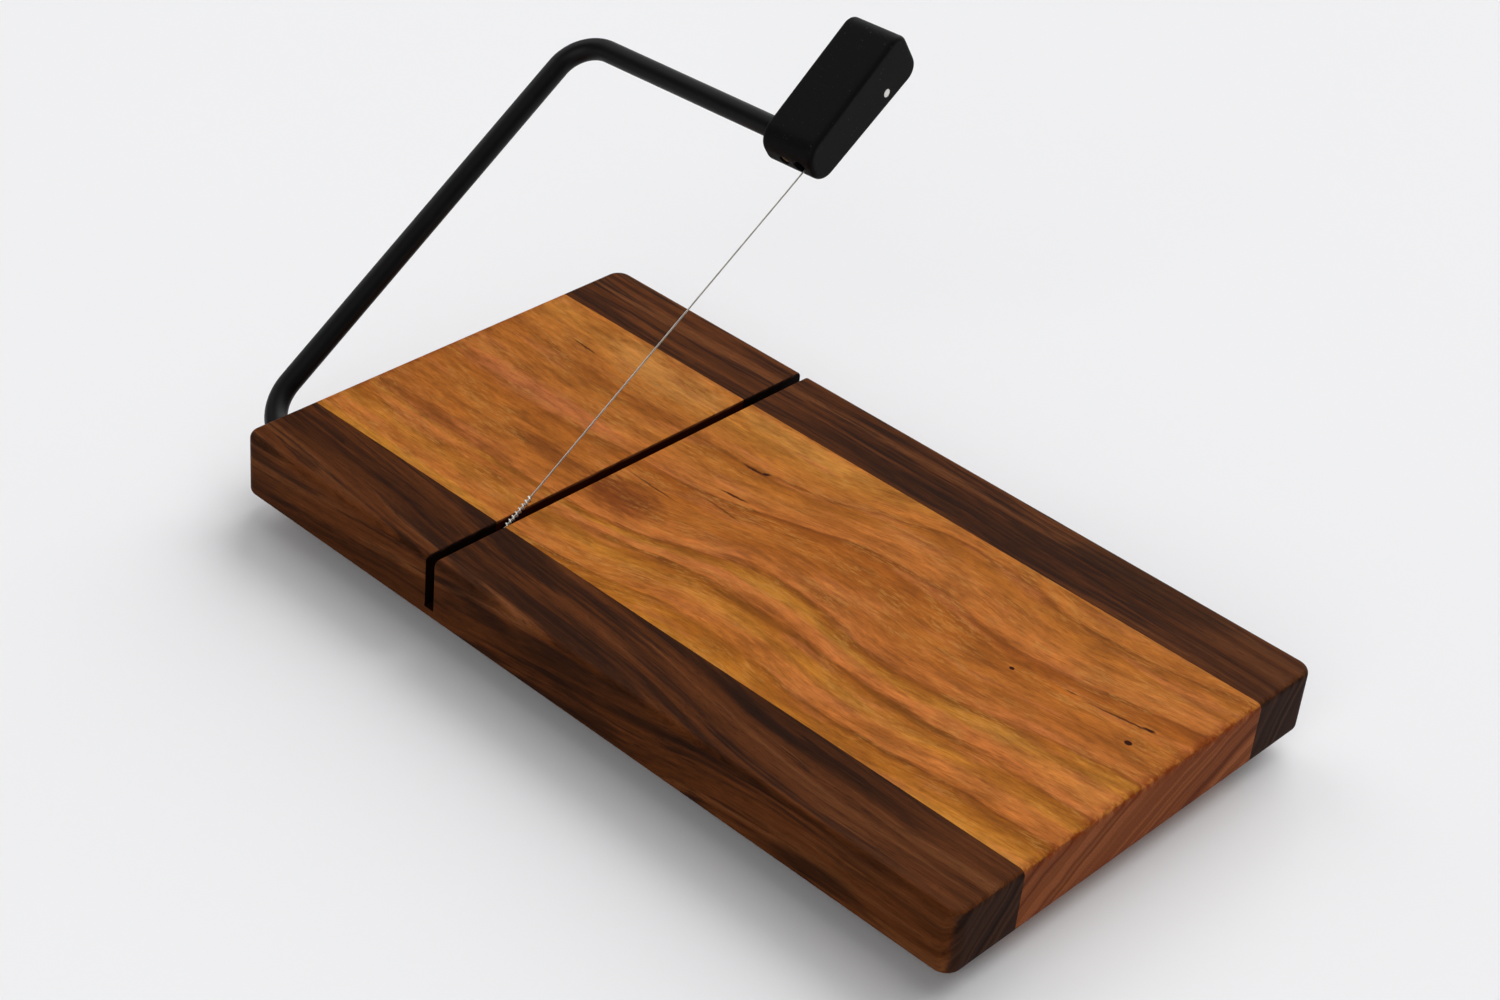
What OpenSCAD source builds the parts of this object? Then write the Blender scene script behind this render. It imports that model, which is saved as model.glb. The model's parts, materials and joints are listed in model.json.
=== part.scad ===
// Cheese wire cutter: a laminated serving board with a saw kerf across it, and a bent
// steel arm that swings about its own end in a hole drilled along the board.
// The arm holds a taut cutting wire that drops into the kerf.
// Bench coordinates: X from the left end, Y from the front edge, Z from the table.

/* [Board] */
// Length of the board
board_l = 250; // [220:1:300]
// Width of the board, across the strips
board_w = 140; // [138:0.5:144]
// Thickness of the board
board_t = 19; // [18:0.5:22]
// Width of the dark strip along the front edge
front_strip_w = 24; // [20:0.5:30]
// Width of the dark strip along the back edge
back_strip_w = 23.5; // [20:0.5:30]
// Radius of the board's corners, seen from above
corner_r = 4.5; // [3:0.5:12]
// Radius of the rounded edges
edge_r = 1.7; // [0.5:0.1:3]

/* [Kerf] */
// Distance from the left end to the middle of the kerf
kerf_x = 75; // [74:0.5:76]
// Width of the kerf
kerf_w = 3.2; // [3:0.1:4]
// Depth of the kerf below the top face
kerf_depth = 15.5; // [14:0.1:16]

/* [Pivot] */
// Distance from the front edge to the arm's axis
pivot_y = 14.1; // [12:0.1:16]
// Radius of the hole that the arm turns in
bore_r = 3.24; // [3.2:0.01:3.27]
// Depth of that hole from the left end
bore_l = 86; // [84:1:100]
// Radius of the hole's eased mouth
bore_mouth_r = 4.1; // [3.8:0.1:4.5]

/* [Arm] */
// Radius of the arm's rod
rod_r = 3.175; // [3:0.005:3.18]
// Distance from the left end to the leg that stands out beside the board
leg_gap = 12.5; // [11:0.5:15]
// Length of that leg from the pivot's axis to the corner
leg_l = 143.8; // [142:0.1:146]
// Angle by which the leg leans away from the board
leg_lean = 1.2; // [0:0.1:2]
// Angle by which the top bar leans away from the pivot
bar_lean = 2.28; // [1:0.01:3]
// Length of the top bar from the corner to the handle
bar_l = 75; // [74:0.1:76]
// Radius of the bend at the pivot, to the rod's middle
low_bend_r = 15; // [12:0.1:15]
// Radius of the bend at the corner, to the rod's middle
top_bend_r = 11.1; // [9:0.1:14]
// Angle of the arm above the board as it stands
rest_angle = 33.5; // [0:0.5:90]

/* [Handle] */
// Width of the handle, along the top bar
handle_w = 17.6; // [17:0.1:18]
// Length of the handle from the bar's middle towards the pivot
handle_near = 7.4; // [7:0.1:8]
// Length of the handle from the bar's middle to its far end
handle_far = 37.9; // [36:0.1:42]
// Thickness at the end nearer the pivot
handle_t_near = 13.5; // [13:0.1:14.5]
// Thickness at the far end
handle_t_far = 17.1; // [15:0.1:18]
// Corner radius of the handle's outline at the nearer end
handle_r_near = 5.8; // [4:0.1:6.2]
// Corner radius of the handle's outline at the far end
handle_r_far = 4.5; // [3:0.1:6]
// Radius of the handle's rounded edges
handle_edge_r = 1.35; // [0.8:0.05:2]

/* [Cutting wire] */
// Radius of the cutting wire
wire_r = 0.28; // [0.2:0.01:0.3]
// Distance from the pivot's axis to where the lower twist starts
twist_start = 14; // [12:0.5:16]
// Turns in the lower twist
twist_turns = 8; // [6:1:10]
// Length of one turn of a twist
twist_pitch = 1.3; // [1.2:0.05:1.5]

/* [Feet] */
// Height of a foot
foot_h = 7; // [6:0.5:9]
// Radius of a foot where it meets the board
foot_r = 8; // [7.5:0.5:9]
// Distance from each end of the board to a foot's middle
foot_inset_x = 25; // [20:1:30]
// Distance from each long edge of the board to a foot's middle
foot_inset_y = 33; // [33:1:40]

/* [Hidden] */
$fn = 64;
CORNERS = ["front_left", "front_right", "back_left", "back_right"];

walnut = [0.27, 0.16, 0.10];
cherry = [0.69, 0.42, 0.20];
black = [0.08, 0.08, 0.08];
rubber = [0.06, 0.06, 0.06];
steel = [0.75, 0.75, 0.74];

gap = 0.02;                // clearance that keeps two pieces of one body apart
over = 1;                  // how far a cut runs past a face
pivot_z = foot_h + board_t / 2;
kerf_z = foot_h + board_t - kerf_depth;
bore_mouth_l = 2.4;        // how far the bore's eased mouth runs in

// Rod
leg_dir = [-sin(leg_lean), cos(leg_lean)];
leg_side = [cos(leg_lean), sin(leg_lean)];
bar_dir = [cos(bar_lean), sin(bar_lean)];
low_turn = 90 - leg_lean;
top_turn = 90 - bar_lean + leg_lean;
low_tangent = low_bend_r * tan(low_turn / 2);
top_tangent = top_bend_r * tan(top_turn / 2);
leg_foot = [-leg_gap, 0];
corner = leg_foot + leg_l * leg_dir;
low_centre = [low_tangent - leg_gap, low_bend_r];
top_centre = corner - top_tangent * leg_dir + top_bend_r * leg_side;
rod_end_gap = 2;           // room between the rod's end and the end of its hole
rod_end_x = bore_l - rod_end_gap;
rod_chamfer = 0.6;
neck_r = 2.9;              // radius of the bow's root inside the straight shaft
neck_l = 1.3;              // length of that root
shaft_overlap = 0.3;       // distance from the bend's end to where the shaft takes over
shaft_start_x = low_tangent - leg_gap + shaft_overlap;
groove_r = 2.55;           // rod's radius under the wire's loop
groove_w = 1.4;
rod_in_handle = 10.4;      // how far the bar goes into the handle
socket_l = 10.6;
socket_r = rod_r + gap;

// Handle: l runs along the bar from the handle's inner face, h away from the pivot
handle_at = corner + bar_l * bar_dir;
taper = (handle_t_far - handle_t_near) / 2 / (handle_near + handle_far);
side_scale = sqrt(1 + taper * taper);
near_h = handle_r_near - handle_near;
far_h = handle_far - handle_r_far;
function half_t(h) = handle_t_near / 2 + taper * (h + handle_near);
near_u = half_t(near_h) - handle_r_near * side_scale;
far_u = half_t(far_h) - handle_r_far * side_scale;

// Wire's anchor in the handle
pin_r = 1.2;
pin_l = 14;
pin_h = 24.9;
pin_u = -3.9;
wire_bore_r = 1.9;
wire_bore_l = 12.9;        // the wire bore's place along the bar
wire_bore_past = 2.4;      // how far the wire bore runs past the pin's middle
bore_run = pin_h + handle_near;
bore_tilt = atan(pin_u / bore_run);
bore_dir = [0, cos(bore_tilt), sin(bore_tilt)];
screw_l = 7.4;             // the set screw's place along the bar
screw_r = 1.5;
screw_len = 3.6;
hex_r = 0.87;              // the set screw's socket, to its corners
hex_depth = 1.6;

// Wire, in the arm's own frame: x along the pivot, s away from it, u square to both
function in_handle(l, h, u) =
    [handle_at.x + l * cos(bar_lean) - h * sin(bar_lean),
     handle_at.y + l * sin(bar_lean) + h * cos(bar_lean), u];
function unit(v) = v / norm(v);
function reversed(p) = [for (i = [len(p) - 1 : -1 : 0]) p[i]];
low_ring_r = groove_r + wire_r + gap;
pin_ring_r = pin_r + wire_r + gap;
wind_gap = 0.03;           // room between the taut wire and the one wound round it
wind_r = 2 * wire_r + wind_gap;
ring_steps = 20;           // points round a loop
turn_steps = 12;           // points in one turn of a twist
upper_twist_turns = 3;
upper_apex_run = 9;        // from the pin's middle to where the upper twist starts
low_eye = [kerf_x, 0, 0];
low_apex = [kerf_x, twist_start, 0];
pin_eye = in_handle(wire_bore_l, pin_h, pin_u);
pin_apex = in_handle(wire_bore_l,
    pin_h - upper_apex_run * cos(bore_tilt), pin_u - upper_apex_run * sin(bore_tilt));
mouth_l = 14.3;            // where the wire bears on the mouth of its bore
mouth_u = -0.6;
mouth = in_handle(mouth_l, -handle_near, mouth_u);

// One end of the wire, from its apex round the eye and back in a twist along the wire
function wire_end(eye, apex, side, along, ring_r, turns) =
    let (reach = norm(apex - eye),
         to_apex = (apex - eye) / reach,
         open = acos(ring_r / reach),
         third = cross(along, side),
         ring = [for (i = [0:ring_steps]) let (a = open + (360 - 2 * open) * i / ring_steps)
             eye + ring_r * (cos(a) * to_apex + sin(a) * side)],
         twist = [for (i = [0 : turns * turn_steps]) let (a = 360 * i / turn_steps)
             apex + along * twist_pitch * i / turn_steps
             + wind_r * (-cos(a) * side + sin(a) * third)])
    concat([apex], ring, twist);

up_dir = unit(mouth - low_apex);
down_dir = unit(mouth - pin_apex);
low_side = unit([0, -up_dir.z, up_dir.y]);
pin_axis = [cos(bar_lean), sin(bar_lean), 0];
pin_side = unit(cross(pin_axis, down_dir));
wire_path = concat(
    reversed(wire_end(pin_eye, pin_apex, pin_side, down_dir, pin_ring_r, upper_twist_turns)),
    [mouth],
    wire_end(low_eye, low_apex, low_side, up_dir, low_ring_r, twist_turns));

// Feet
recess_r = 3.9;
recess_h = 3.4;
washer_t = 0.8;
washer_r = 3.8;
shank_r = 1.75;
shank_hole_r = 1.8;
screw_head_r = 3.3;
screw_head_h = 2.1;
screw_face_r = 2.6;        // the head's flat face, inside its sloping rim
screw_rim_h = 0.7;
screw_reach = 7.6;         // how far the screw goes into the board
screw_tip_l = 2.5;
screw_tip_r = 0.3;
pilot_past = 1;            // how far the pilot hole runs past the screw's tip
cross_l = 3.2;             // the recess for a cross-head driver
cross_w = 0.8;
cross_depth = 1.3;
foot_taper = 1;
foot_round = 1.2;
function foot_x(i) = i % 2 == 0 ? foot_inset_x : board_l - foot_inset_x;
function foot_y(i) = i < 2 ? foot_inset_y : board_w - foot_inset_y;

// Origin: middle of the whole part's outline on the table, with the arm at its rest angle
outermost_x = top_centre.x - top_bend_r - rod_r;
far_corner = in_handle(handle_w - handle_edge_r, far_h, -far_u);
rearmost_y = pivot_y + far_corner.y * cos(rest_angle)
    - far_corner.z * sin(rest_angle) + handle_r_far;
origin_x = (outermost_x + board_l) / 2;
origin_y = rearmost_y / 2;

module from_bench() {
    translate([-origin_x, -origin_y, 0]) children();
}

// Places the arm's own frame at its rest angle
module in_arm() {
    from_bench() translate([0, pivot_y, pivot_z]) rotate([rest_angle, 0, 0]) children();
}

// Places the handle's frame in the arm: X along the bar, Y away from the pivot
module in_arm_handle() {
    in_arm() translate([handle_at.x, handle_at.y, 0]) rotate([0, 0, bar_lean]) children();
}

// A cylinder along X from x0 to x1
module x_bar(x0, x1, r) {
    translate([x0, 0, 0]) rotate([0, 90, 0]) cylinder(r = r, h = x1 - x0);
}

// A rectangle with two rounded corners on its right and, if asked, two on its left
module rounded_section(w, t, left = false) {
    start = left ? edge_r : 0;
    translate([start, 0]) square([w - start - edge_r, t]);
    translate([0, edge_r]) square([w, t - 2 * edge_r]);
    for (z = [edge_r, t - edge_r]) {
        translate([w - edge_r, z]) circle(edge_r);
        if (left) translate([edge_r, z]) circle(edge_r);
    }
}

// The board's section along its length, from y0 to y1
module length_section(y0, y1) {
    translate([0, y1, foot_h]) rotate([90, 0, 0])
        linear_extrude(y1 - y0) rounded_section(board_l, board_t, true);
}

// A dark strip w wide with its rounded outer edge at Y 0
module edge_strip(w) {
    length_section(corner_r, w);
    translate([corner_r, w, foot_h]) rotate([90, 0, 90]) mirror([1, 0])
        linear_extrude(board_l - 2 * corner_r) rounded_section(w, board_t);
    for (x = [corner_r, board_l - corner_r])
        translate([x, corner_r, foot_h]) rotate_extrude() rounded_section(corner_r, board_t);
}

module kerf() {
    translate([kerf_x - kerf_w / 2, -over, kerf_z])
        cube([kerf_w, board_w + 2 * over, kerf_depth + over]);
}

module front_strip() {
    color(walnut) from_bench() difference() {
        edge_strip(front_strip_w);
        kerf();
        translate([0, pivot_y, pivot_z]) {
            x_bar(-over, bore_l, bore_r);
            rotate([0, 90, 0]) cylinder(r1 = bore_mouth_r, r2 = bore_r, h = bore_mouth_l);
        }
    }
}

module centre_panel() {
    color(cherry) from_bench() difference() {
        length_section(front_strip_w, board_w - back_strip_w);
        kerf();
        for (i = [0:3])
            translate([foot_x(i), foot_y(i), foot_h - over])
                cylinder(r = shank_hole_r, h = over + screw_reach + pilot_past);
    }
}

module back_strip() {
    color(walnut) from_bench() difference() {
        translate([0, board_w, 0]) mirror([0, 1, 0]) edge_strip(back_strip_w);
        kerf();
    }
}

module at_foot(i) {
    from_bench() translate([foot_x(i), foot_y(i), 0]) children();
}

module foot(i) {
    low_r = foot_r - foot_taper;
    color(rubber) at_foot(i) difference() {
        rotate_extrude() {
            polygon([[0, foot_round], [low_r, foot_round], [foot_r, foot_h], [0, foot_h]]);
            square([low_r - foot_round, foot_h]);
            translate([low_r - foot_round, foot_round]) circle(foot_round);
        }
        translate([0, 0, -over]) cylinder(r = recess_r, h = recess_h + over);
        cylinder(r = shank_hole_r, h = foot_h + over);
    }
}

module foot_washer(i) {
    color(steel) at_foot(i) translate([0, 0, recess_h - washer_t]) difference() {
        cylinder(r = washer_r, h = washer_t);
        translate([0, 0, -over]) cylinder(r = shank_hole_r, h = washer_t + 2 * over);
    }
}

module foot_screw(i) {
    head_z = recess_h - washer_t;
    tip_z = foot_h - head_z + screw_reach - screw_tip_l;
    color(steel) at_foot(i) translate([0, 0, head_z]) difference() {
        union() {
            translate([0, 0, -screw_head_h])
                cylinder(r1 = screw_face_r, r2 = screw_head_r, h = screw_rim_h);
            translate([0, 0, screw_rim_h - screw_head_h])
                cylinder(r = screw_head_r, h = screw_head_h - screw_rim_h);
            cylinder(r = shank_r, h = tip_z);
            translate([0, 0, tip_z]) cylinder(r1 = shank_r, r2 = screw_tip_r, h = screw_tip_l);
        }
        for (turn = [0, 90])
            rotate([0, 0, turn]) translate([-cross_l / 2, -cross_w / 2, -screw_head_h - over])
                cube([cross_l, cross_w, over + cross_depth]);
    }
}

// Normals carried along a path with no twist
function carried(t, n, i = 0, out = []) =
    i == len(t) ? out :
    let (v = unit(n - (n * t[i]) * t[i])) carried(t, v, i + 1, concat(out, [v]));

// A tube of radius r along a path of points, with its own radius at the first one.
// Its sides start square to a line that no path here runs along.
module tube(path, r, sides = 8, first_r = 0) {
    last = len(path) - 1;
    radii = [for (i = [0:last]) i == 0 && first_r > 0 ? first_r : r];
    t = [for (i = [0:last]) unit(path[min(i + 1, last)] - path[max(i - 1, 0)])];
    n = carried(t, unit(cross(t[0], [1, 2, 3])));
    rings = [for (i = [0:last], k = [0 : sides - 1]) let (a = 360 * k / sides)
        path[i] + radii[i] * (cos(a) * n[i] + sin(a) * cross(t[i], n[i]))];
    walls = [for (i = [0 : last - 1], k = [0 : sides - 1]) let (m = (k + 1) % sides)
        [i * sides + k, (i + 1) * sides + k, (i + 1) * sides + m, i * sides + m]];
    caps = [[for (k = [0 : sides - 1]) k],
            [for (k = [sides - 1 : -1 : 0]) last * sides + k]];
    polyhedron(points = rings, faces = concat(walls, caps), convexity = 10);
}

// Points of an arc in the arm's plane, from one polar angle to another
function arc(centre, r, from, to, steps = 16) =
    [for (i = [0:steps]) let (a = from + (to - from) * i / steps)
        [centre.x + r * cos(a), centre.y + r * sin(a), 0]];

// The bow's middle line: out of the shaft, up the leg and along the bar into the handle
bow_sides = 24;
bow_end = corner + (bar_l + rod_in_handle) * bar_dir;
bow_path = concat(
    [[low_centre.x + neck_l, 0, 0]],
    arc(low_centre, low_bend_r, 270, 180 + leg_lean),
    arc(top_centre, top_bend_r, 180 + leg_lean, 90 + bar_lean),
    [[bow_end.x, bow_end.y, 0]]);

// The straight shaft that turns in the board, with the groove for the wire's loop
module shaft() {
    groove_x = kerf_x - groove_w / 2;
    rotate([0, 90, 0]) rotate_extrude() polygon([
        [0, shaft_start_x], [rod_r, shaft_start_x], [rod_r, groove_x],
        [groove_r, groove_x], [groove_r, groove_x + groove_w], [rod_r, groove_x + groove_w],
        [rod_r, rod_end_x - rod_chamfer], [rod_r - rod_chamfer, rod_end_x], [0, rod_end_x]]);
}

module arm_rod() {
    color(black) in_arm() {
        shaft();
        tube(bow_path, rod_r, bow_sides, neck_r);
    }
}

// A disc across the bar with rounded rims, one corner of the handle
module handle_corner(h, u, r) {
    e = handle_edge_r;
    translate([0, h, u]) rotate([0, 90, 0]) rotate_extrude($fn = 32)
        polygon(concat([[0, 0]],
            [for (a = [0:22.5:90]) [r - e + e * sin(a), e - e * cos(a)]],
            [for (a = [0:22.5:90]) [r - e + e * cos(a), handle_w - e + e * sin(a)]],
            [[0, handle_w]]));
}

module handle() {
    color(black) in_arm_handle() difference() {
        hull() for (side = [-1, 1]) {
            handle_corner(near_h, side * near_u, handle_r_near);
            handle_corner(far_h, side * far_u, handle_r_far);
        }
        x_bar(-over, socket_l, socket_r);
        translate([wire_bore_l, -handle_near, 0]) rotate([bore_tilt - 90, 0, 0])
            translate([0, 0, -over])
                cylinder(r = wire_bore_r, h = bore_run / cos(bore_tilt) + wire_bore_past + over);
        translate([0, pin_h, pin_u])
            x_bar(handle_w - pin_l - gap, handle_w + over, pin_r + gap);
        translate([screw_l, 0, 0]) rotate([90, 0, 0])
            cylinder(r = screw_r + gap, h = handle_near + over);
    }
}

module set_screw() {
    color(steel) in_arm_handle() translate([screw_l, -rod_r - gap, 0]) rotate([90, 0, 0])
        difference() {
            cylinder(r = screw_r, h = screw_len);
            translate([0, 0, screw_len - hex_depth])
                cylinder(r = hex_r, h = hex_depth + over, $fn = 6);
        }
}

module wire_pin() {
    color(steel) in_arm_handle() translate([0, pin_h, pin_u])
        x_bar(handle_w - pin_l, handle_w, pin_r);
}

module cutting_wire() {
    color(steel) in_arm() tube(wire_path, wire_r);
}

front_strip();
centre_panel();
back_strip();
for (i = [0:3]) {
    foot(i);
    foot_washer(i);
    foot_screw(i);
}
arm_rod();
handle();
set_screw();
wire_pin();
cutting_wire();
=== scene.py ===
"""Looks of the cheese wire cutter: a board of walnut and cherry, and the arm that carries its wire.

Sizes are in millimetres. Board pieces are modelled in bench coordinates (X from the left end,
Y from the front edge, Z from the table) and arm pieces in the arm's own (X from the left end along
the pivot, S away from the pivot, U square to both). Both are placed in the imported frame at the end.
"""
import json
import math

import bmesh
import bpy
import numpy as np
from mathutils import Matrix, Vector


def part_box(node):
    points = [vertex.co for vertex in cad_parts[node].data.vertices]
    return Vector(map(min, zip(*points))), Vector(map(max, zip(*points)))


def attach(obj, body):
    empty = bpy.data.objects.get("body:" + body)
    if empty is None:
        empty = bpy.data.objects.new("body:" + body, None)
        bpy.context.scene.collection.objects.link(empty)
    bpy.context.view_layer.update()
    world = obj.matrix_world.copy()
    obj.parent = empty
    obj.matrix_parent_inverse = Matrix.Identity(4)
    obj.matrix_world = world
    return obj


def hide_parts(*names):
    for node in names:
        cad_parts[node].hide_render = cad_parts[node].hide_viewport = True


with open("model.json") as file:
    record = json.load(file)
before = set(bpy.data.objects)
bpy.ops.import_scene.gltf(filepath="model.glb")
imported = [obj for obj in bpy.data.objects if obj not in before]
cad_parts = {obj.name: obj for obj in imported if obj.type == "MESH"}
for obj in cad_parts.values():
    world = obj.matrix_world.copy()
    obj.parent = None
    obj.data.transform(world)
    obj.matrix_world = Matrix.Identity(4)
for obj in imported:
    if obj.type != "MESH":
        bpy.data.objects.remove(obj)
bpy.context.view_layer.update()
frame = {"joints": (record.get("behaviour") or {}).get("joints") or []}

MM = 0.001

# ---------------- sizes

front_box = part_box("front_strip")
back_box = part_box("back_strip")
PIVOT = Vector(frame["joints"][0]["pos_m"])

BOARD_LEFT = front_box[0].x
BOARD_FRONT = front_box[0].y
BOARD_L = (front_box[1].x - BOARD_LEFT) / MM
BOARD_W = (back_box[1].y - BOARD_FRONT) / MM
UNDERSIDE = front_box[0].z / MM
TOP = front_box[1].z / MM
FRONT_GLUE = (front_box[1].y - BOARD_FRONT) / MM
BACK_GLUE = (back_box[0].y - BOARD_FRONT) / MM
PIVOT_Y = (PIVOT.y - BOARD_FRONT) / MM
PIVOT_Z = PIVOT.z / MM

FIT_GAP = 0.02          # gap between a pin, rod or wire and what it fits
CORNER_R = 4.5          # board's corners, from above
EDGE_R = 1.7            # board's long rounded edges
KERF = (73.4, 76.6)     # kerf's two walls along X
KERF_FLOOR = TOP - 15.5
KERF_EASE = 0.45        # sanded edge of the kerf
BORE_R = 3.24
BORE_MOUTH_R = 4.1
BORE_MOUTH_L = 2.4
BORE_END = 86
PILOT_R = 1.8           # holes that the feet's screws go into
PILOT_TOP = UNDERSIDE + 8.6

# The strips' grids: widest spacing in plan and in height, then, for each kind of drilled hole, half
# its square, half the patch that bends round it, and the cells across its square
CELL = 3
CELL_H = 2.5
BORE_GRID = (2.5, 6.6, 12)
PILOT_GRID = (1.3, 3.6, 6)
TOUCH = 0.01            # points nearer than this lie on a face
FAR = 1000              # depth under a face that a strip doesn't have

REST_ANGLE = math.radians(33.5)
LEG_LEAN = math.radians(1.2)
BAR_LEAN = math.radians(2.28)
LEG_GAP = 12.5
LEG_L = 143.8
BAR_L = 75
ROD_R = 3.175
BOW_R = 3.155           # the bent part, drawn a hair thinner by the bending
LOW_BEND_R = 15
TOP_BEND_R = 11.1
ROD_END = 84
ROD_CHAMFER = 0.6
GROOVE_R = 2.55
GROOVE_W = 1.4
GROOVE_X = sum(KERF) / 2
ROD_IN_HANDLE = 10.4
ROD_END_EASE = 0.4
ROD_STEP = 4            # between the rings of the rod's shaft
TIP_R = 0.01            # a turned shape's first and last ring

HANDLE_W = 17.6
HANDLE_NEAR = 7.4
HANDLE_FAR = 37.9
HANDLE_T = (13.5, 17.1)     # thickness at the near and far end
HANDLE_R = (5.8, 4.5)       # outline's corner radius at the near and far end
HANDLE_EDGE_R = 1.35
SOCKET_L = 10.6
PIN_R = 1.2
PIN_L = 14
PIN_DOME = 0.12
PIN_H = 24.9
PIN_U = -3.9
BORE_TILT = math.atan(PIN_U / (PIN_H + HANDLE_NEAR))
WIRE_BORE_R = 1.9
WIRE_BORE_L = 12.9
WIRE_BORE_PAST = 2.4
SCREW_L = 7.4
SCREW_R = 1.5
SCREW_LEN = 3.6

WIRE_R = 0.28
WIRE_EASE = 0.04        # how much thinner the bare wire is than its envelope
WIND_R = 2 * WIRE_R + 0.03
TWIST_START = 14
TWIST_TURNS = 8
TWIST_PITCH = 1.3
PIN_TWIST_TURNS = 3
PIN_APEX_RUN = 9
TURN_STEPS = 24         # points in each turn of the twist
WIRE_MOUTH = (14.3, -0.6)   # where the wire leaves the handle: along the bar, square to the arm

FOOT_IN_X = 25
FOOT_IN_Y = 33
FOOT_R = 8
FOOT_TAPER = 1
FOOT_ROUND = 1.2
RECESS_R = 3.9
RECESS_H = 3.4
WASHER_R = 3.8
WASHER_T = 0.8
SHANK_R = 1.75
FOOT_HOLE_R = SHANK_R + 0.05
HEAD_R = 3.3
HEAD_H = 2.1
SCREW_REACH = 7.6

FEET = {
    "front_left": (FOOT_IN_X, FOOT_IN_Y),
    "front_right": (BOARD_L - FOOT_IN_X, FOOT_IN_Y),
    "back_left": (FOOT_IN_X, BOARD_W - FOOT_IN_Y),
    "back_right": (BOARD_L - FOOT_IN_X, BOARD_W - FOOT_IN_Y),
}

# Drilled holes: the two axes across, the axis along, the centre, (depths, radii) and the grid
BORE_PROFILE = ([0, BORE_MOUTH_L, BORE_END], [BORE_MOUTH_R, BORE_R, BORE_R])
BORE = ((1, 2), 0, (PIVOT_Y, PIVOT_Z), BORE_PROFILE, BORE_GRID)
PILOTS = [((0, 1), 2, centre, ([PILOT_TOP], [PILOT_R]), PILOT_GRID) for centre in FEET.values()]

# ---------------- placing pieces


def bench_to_row(points):
    """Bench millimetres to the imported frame's metres."""
    return np.asarray(points) * MM + [BOARD_LEFT, BOARD_FRONT, 0]


def arm_to_row(points):
    """The arm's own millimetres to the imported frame's metres, at the rest angle."""
    x, s, u = np.asarray(points, float).T * MM
    cos, sin = math.cos(REST_ANGLE), math.sin(REST_ANGLE)
    return np.stack([BOARD_LEFT + x, PIVOT.y + s * cos - u * sin, PIVOT.z + s * sin + u * cos], 1)


def in_handle(points):
    """Handle coordinates (along the bar, away from the pivot, square to both) to the arm's own."""
    l, h, u = np.asarray(points, float).T
    cos, sin = math.cos(BAR_LEAN), math.sin(BAR_LEAN)
    return np.stack([HANDLE_AT[0] + l * cos - h * sin, HANDLE_AT[1] + l * sin + h * cos, u], 1)


def on_handle(points, axes, place):
    """A turned shape's points to the arm's coordinates, with its axes and its place in the handle's."""
    return in_handle(np.asarray(points) @ np.asarray(axes, float) + place)


def new_object(name, data):
    made = bpy.data.objects.new(name, data)
    bpy.context.scene.collection.objects.link(made)
    return made


def new_mesh(name, points, faces):
    mesh = bpy.data.meshes.new(name)
    mesh.from_pydata([tuple(p) for p in points], [], faces)
    mesh.validate()
    return new_object(name, mesh)


def finish_piece(shown, body, node, material, sharp=35):
    """Shades a piece, gives it its material and puts it in the CAD node's place."""
    shown.data.shade_smooth()
    shown.data.set_sharp_from_angle(angle=math.radians(sharp))
    shown.data.materials.clear()
    shown.data.materials.append(material)
    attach(shown, body)
    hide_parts(node)


def make_piece(name, points, faces, body, slot, node, material, sharp=35):
    """A finished piece from a mesh in its body's own coordinates."""
    to_row = {"board": bench_to_row, "arm": arm_to_row}[body]
    shown = new_mesh(name, to_row(points), faces)
    finish_piece(shown, body, node, material, sharp)
    return shown


# ---------------- shapes made of rings


def unit(v):
    return v / np.linalg.norm(v)


def loft(rings, closed=False):
    """A skin over a row of rings that all have the same number of points."""
    rings = np.asarray(rings, float)
    count, around = rings.shape[:2]
    faces = []
    for i in range(count if closed else count - 1):
        low, high = i * around, (i + 1) % count * around
        for k in range(around):
            m = (k + 1) % around
            faces.append((low + k, low + m, high + m, high + k))
    if not closed:
        faces.append(tuple(range(around))[::-1])
        faces.append(tuple(range((count - 1) * around, count * around)))
    return rings.reshape(-1, 3), faces


def hoop(centre, radius, first, second, sides):
    """A ring of points round a centre, in the plane of two directions."""
    turns = np.arange(sides) * 2 * math.pi / sides
    return centre + radius * (np.outer(np.cos(turns), first) + np.outer(np.sin(turns), second))


def lathe(profile, sides=64, closed=False):
    """A turned shape round Z from (radius, height) pairs. A radius may be a function of the angle."""
    turns = np.arange(sides) * 2 * math.pi / sides
    rings = []
    for radius, z in profile:
        out = radius(turns) if callable(radius) else radius
        rings.append(np.stack([out * np.cos(turns), out * np.sin(turns), np.full(sides, z)], 1))
    return loft(rings, closed)


def hexagon(corner_r):
    """A hexagon's radius at any angle."""
    side = math.pi / 3
    return lambda turn: corner_r * math.cos(side / 2) / np.cos(turn % side - side / 2)


def cross(half, reach):
    """The radius at any angle of a cross whose bars are 2 half wide."""
    def radius(turn):
        off = (turn + math.pi / 4) % (math.pi / 2) - math.pi / 4
        return np.minimum(reach / np.cos(off), half / np.maximum(abs(np.sin(off)), 1e-6))
    return radius


def arc(centre, radius, start, end, steps):
    """Points of a flat arc between two angles in degrees."""
    turn = np.radians(np.linspace(start, end, steps + 1))
    return np.stack([centre[0] + radius * np.cos(turn), centre[1] + radius * np.sin(turn)], 1)


def between(start, end, steps):
    """The points inside a straight line of so many steps."""
    return [start + (end - start) * t for t in np.linspace(0, 1, steps + 1)[1:-1]]


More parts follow.
